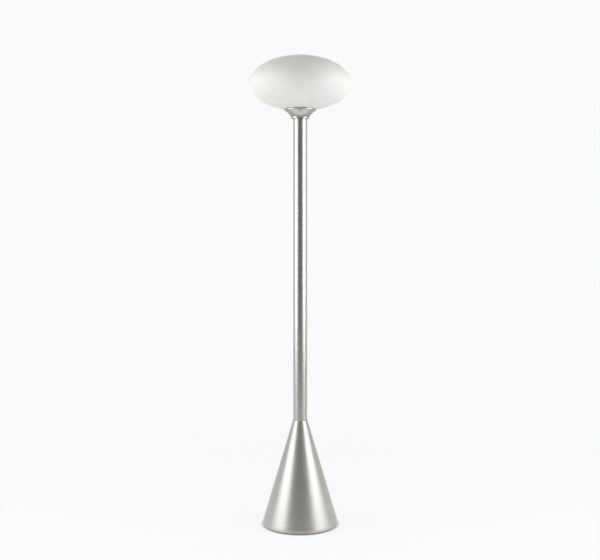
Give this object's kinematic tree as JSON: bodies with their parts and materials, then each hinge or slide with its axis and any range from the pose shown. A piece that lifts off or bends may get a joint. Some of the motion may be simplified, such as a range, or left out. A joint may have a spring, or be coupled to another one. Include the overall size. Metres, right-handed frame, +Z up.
{
  "type": "torchiere floor lamp",
  "caption": "Floor lamp with a weighted cone base, a tall straight tube and a flared holder carrying a flattened frosted glass globe that lifts off over its bulb.",
  "frame": {"origin": "on the floor, under the tube's axis", "axes": "+Z up along the tube; the viewer's side is -Y and the cord inlet is at the back, on +Y"},
  "size_m": [0.3048, 0.3048, 1.4199],
  "materials": {
    "brushed_aluminium": "satin, brushed round the axis, clear lacquered",
    "zinc_steel": "zinc plated",
    "cast_iron": "as cast, black primed",
    "black_rubber": "matt moulded rubber",
    "nylon": "natural moulded nylon",
    "porcelain": "glazed porcelain",
    "white_plastic": "heat-resisting moulded plastic",
    "brass": "bright pressed or turned brass",
    "nickel": "nickel plated",
    "solder": "tin solder",
    "tungsten": "bare wire",
    "satin_opal_glass": "opal glass, acid-etched satin outside",
    "pearl_glass": "thin glass, frosted inside",
    "clear_glass": "clear",
    "black_glass": "black insulating glass",
    "brown_insulation": "extruded insulation",
    "blue_insulation": "extruded insulation",
    "earth_insulation": "extruded insulation, green and yellow"
  },
  "bodies": {
    "stand": {"base_cone": "brushed_aluminium", "stem_tube": "brushed_aluminium", "glass_holder": "brushed_aluminium", "base_weight": "cast_iron", "bottom_plate": "zinc_steel", "cone_ring": "zinc_steel", "foot_ring": "black_rubber", "plate_screw_1": "zinc_steel", "plate_screw_2": "zinc_steel", "plate_screw_3": "zinc_steel", "inlet_grommet": "black_rubber", "terminal_block": "nylon", "terminal_screw_1": "brass", "terminal_screw_2": "brass", "terminal_screw_3": "brass", "terminal_screw_4": "brass", "terminal_screw_5": "brass", "terminal_screw_6": "brass", "tie_rod": "zinc_steel", "base_washer": "zinc_steel", "base_nut": "zinc_steel", "lock_washer": "zinc_steel", "top_nut": "zinc_steel", "cone_bush": "nylon", "stem_plug": "zinc_steel", "gallery": "zinc_steel", "glass_gasket": "black_rubber", "lampholder_dome": "white_plastic", "lampholder_skirt": "white_plastic", "lampholder_insert": "porcelain", "grub_screw": "zinc_steel", "screw_shell": "brass", "centre_contact": "brass", "live_terminal": "brass", "neutral_terminal": "brass", "live_lead": "brown_insulation", "neutral_lead": "blue_insulation", "earth_lead": "earth_insulation", "earth_tag": "brass", "earth_screw": "brass"},
    "globe": {"globe": "satin_opal_glass"},
    "bulb": {"bulb_envelope": "pearl_glass", "bulb_cap": "nickel", "bulb_insulator": "black_glass", "bulb_contact": "solder", "bulb_stem": "clear_glass", "bulb_filament": "tungsten"}
  },
  "joints": [
    {"name": "globe_lift", "type": "slide", "parent": "stand", "child": "globe", "axis": [0, 0, 1], "range_m": [0, 0.15]},
    {"name": "bulb_unscrew", "type": "slide", "parent": "stand", "child": "bulb", "axis": [0, 0, 1], "range_m": [0, 0.024]}
  ]
}
